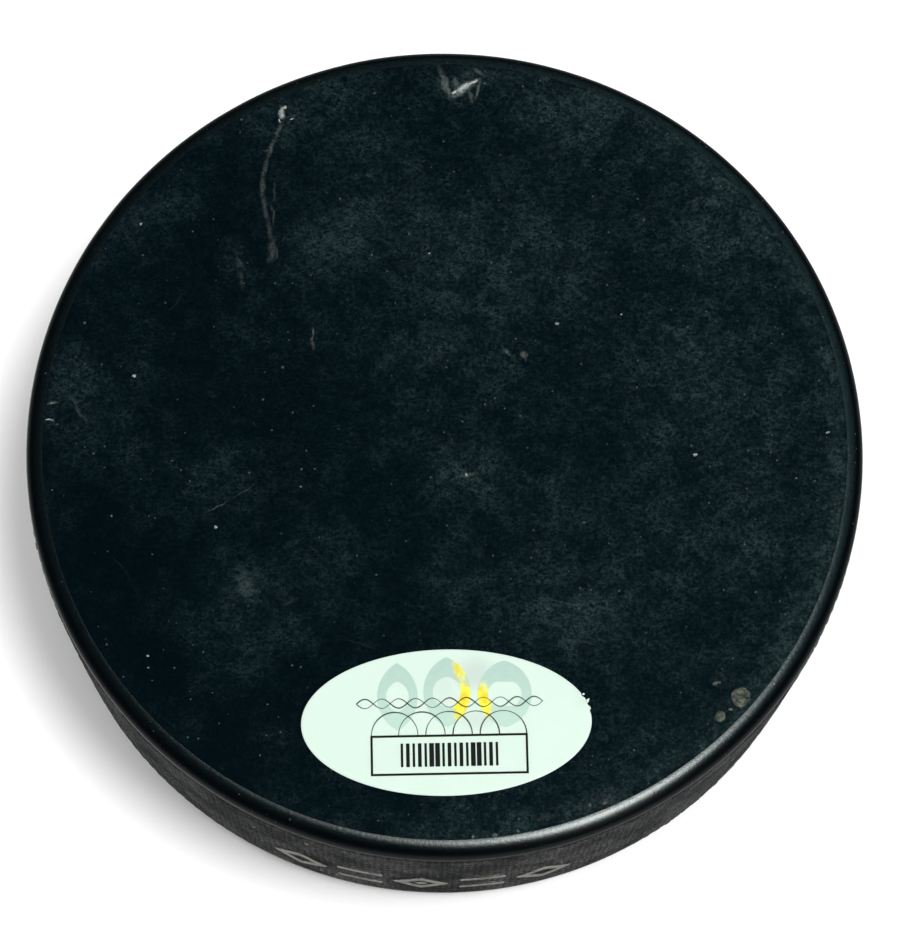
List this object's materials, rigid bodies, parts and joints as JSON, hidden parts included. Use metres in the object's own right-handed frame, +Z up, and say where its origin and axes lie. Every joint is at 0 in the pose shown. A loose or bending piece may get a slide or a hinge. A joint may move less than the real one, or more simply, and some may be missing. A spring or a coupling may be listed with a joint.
{
  "type": "ice hockey puck",
  "caption": "Solid rubber ice hockey puck with round shoulders, a textured grip band, raised geometric marks and an oval foil label on one face.",
  "frame": {"origin": "middle of the lower flat face", "axes": "+Z up through the labelled face, along the puck's axis; -Y towards the label and the row of raised marks; +X to the right of the label"},
  "size_m": [0.0762, 0.0762, 0.0256],
  "materials": {
    "puck_rubber": "satin black vulcanised rubber with fine scuffs",
    "label_adhesive": "clear adhesive coat",
    "label_film": "satin pale mint film",
    "label_foil": "pale green foil with gold areas",
    "label_ink": "black printing ink"
  },
  "bodies": {
    "root": {"puck_body": "puck_rubber", "label_adhesive": "label_adhesive", "label_film": "label_film", "label_foil": "label_foil", "label_print": "label_ink"}
  },
  "joints": []
}
